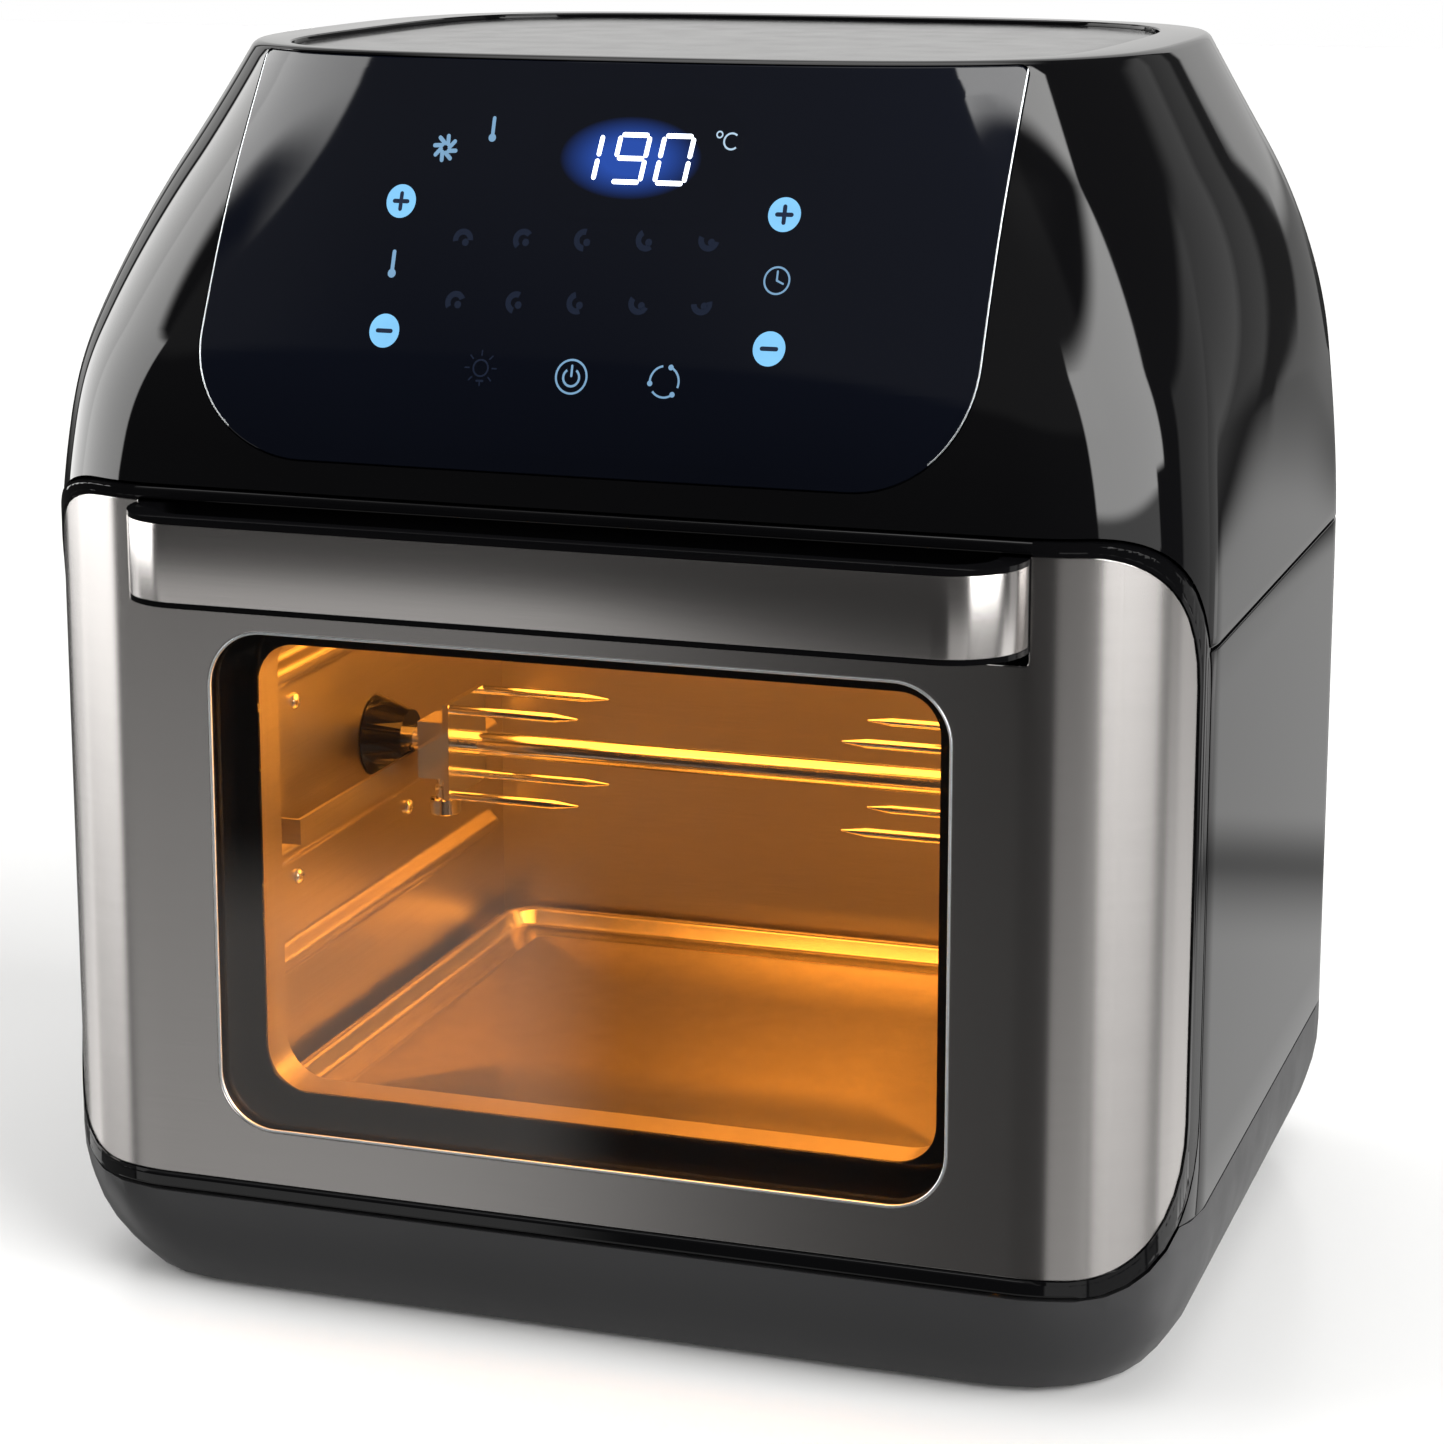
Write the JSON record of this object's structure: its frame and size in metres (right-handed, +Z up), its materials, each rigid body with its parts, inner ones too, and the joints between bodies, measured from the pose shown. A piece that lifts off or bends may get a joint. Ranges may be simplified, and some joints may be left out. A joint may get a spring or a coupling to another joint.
{
  "type": "air fryer oven",
  "caption": "Table-top air fryer oven: tapered gloss hood, touch panel, drop-down glass door with bar handle, lit steel cavity, rotisserie spit with forks, top fan and heating rings.",
  "frame": {"origin": "on the floor under the centre of the whole object", "axes": "+Z up, the door faces -Y, +X to the right seen from the front"},
  "size_m": [0.345, 0.314, 0.367],
  "materials": {
    "satin_black_plastic": "satin moulded",
    "gloss_black_plastic": "high gloss",
    "top_gloss_plastic": "gloss",
    "panel_dark_blue": "gloss glass-like",
    "brushed_stainless": "brushed lengthways",
    "oven_steel": "rolled, satin",
    "tray_metal": "satin",
    "bright_chrome": "polished",
    "zinc_steel": "zinc plated",
    "fan_aluminium": "pressed",
    "element_tube": "dark heat-stained sheath",
    "black_rubber": "matt",
    "smoked_glass": "polished, lightly smoked",
    "clear_glass": "polished",
    "lamp_bulb": "warm glow",
    "white_ceramic": "satin",
    "board_green": "solder mask",
    "spring_brass": "bright",
    "red_plastic": "gloss"
  },
  "bodies": {
    "cabinet": {"base_housing": "satin_black_plastic", "bottom_cover": "satin_black_plastic", "feet": "black_rubber", "side_shell_left": "gloss_black_plastic", "side_shell_right": "gloss_black_plastic", "back_panel": "satin_black_plastic", "rear_vent": "satin_black_plastic", "upper_hood": "gloss_black_plastic", "top_plate": "top_gloss_plastic", "control_panel": "panel_dark_blue", "control_board": "board_green", "display_module": "white_ceramic", "touch_springs": "spring_brass", "cavity_left_wall": "oven_steel", "cavity_right_wall": "oven_steel", "cavity_back_wall": "oven_steel", "cavity_floor": "oven_steel", "cavity_ceiling": "oven_steel", "front_flange": "oven_steel", "door_seal": "black_rubber", "heat_shield": "oven_steel", "heating_element": "element_tube", "fan_guard": "oven_steel", "fan_motor": "zinc_steel", "motor_bracket": "zinc_steel", "lamp_holder": "white_ceramic", "oven_lamp": "lamp_bulb", "lamp_lens": "clear_glass", "temperature_sensor": "zinc_steel", "thermal_fuse": "white_ceramic", "rotisserie_motor": "zinc_steel", "support_rail_left": "zinc_steel", "support_rail_right": "zinc_steel", "power_board": "board_green", "cord_gland": "satin_black_plastic", "hinge_brackets": "zinc_steel", "hinge_pins": "bright_chrome", "door_switch": "satin_black_plastic", "cavity_screws": "bright_chrome", "housing_screws": "bright_chrome"},
    "door": {"door_frame": "gloss_black_plastic", "door_skin": "brushed_stainless", "outer_glass": "smoked_glass", "inner_glass": "clear_glass", "glass_seal": "black_rubber", "door_liner": "oven_steel", "handle_grip": "gloss_black_plastic", "handle_cover": "brushed_stainless"},
    "switch_plunger": {"switch_plunger": "red_plastic"},
    "spit": {"spit_rod": "bright_chrome", "drive_socket": "satin_black_plastic"},
    "fork_left": {"fork_left": "bright_chrome"},
    "thumb_screw_left": {"thumb_screw_left": "bright_chrome"},
    "fork_right": {"fork_right": "bright_chrome"},
    "thumb_screw_right": {"thumb_screw_right": "bright_chrome"},
    "fan_rotor": {"convection_fan": "fan_aluminium", "motor_shaft": "bright_chrome", "fan_nut": "bright_chrome", "cooling_fan": "fan_aluminium"},
    "drip_tray": {"drip_tray": "tray_metal"}
  },
  "joints": [
    {"name": "door_hinge", "type": "hinge", "parent": "cabinet", "child": "door", "pos_m": [0, -0.127, 0.0435], "axis": [1, 0, 0], "range_deg": [0, 90]},
    {"name": "plunger_slide", "type": "slide", "parent": "cabinet", "child": "switch_plunger", "axis": [0, -1, 0], "range_m": [0, 0.0034]},
    {"name": "spit_spin", "type": "hinge", "parent": "cabinet", "child": "spit", "pos_m": [0, 0.00225, 0.142], "axis": [1, 0, 0], "continuous": true},
    {"name": "fork_left_slide", "type": "slide", "parent": "spit", "child": "fork_left", "axis": [1, 0, 0], "range_m": [0, 0.04]},
    {"name": "thumb_screw_left_turn", "type": "hinge", "parent": "fork_left", "child": "thumb_screw_left", "pos_m": [-0.094, 0.00225, 0.12], "axis": [0, 0, 1], "range_deg": [0, 360]},
    {"name": "fork_right_slide", "type": "slide", "parent": "spit", "child": "fork_right", "axis": [-1, 0, 0], "range_m": [0, 0.04]},
    {"name": "thumb_screw_right_turn", "type": "hinge", "parent": "fork_right", "child": "thumb_screw_right", "pos_m": [0.094, 0.00225, 0.12], "axis": [0, 0, 1], "range_deg": [0, 360]},
    {"name": "fan_spin", "type": "hinge", "parent": "cabinet", "child": "fan_rotor", "pos_m": [0, 0.00775, 0.25], "axis": [0, 0, 1], "continuous": true},
    {"name": "tray_slide", "type": "slide", "parent": "cabinet", "child": "drip_tray", "axis": [0, -1, 0], "range_m": [0, 0.004]}
  ],
  "couplings": [
    {"joint": "plunger_slide", "follows": "door_hinge", "m_per_rad": 0.0021}
  ]
}
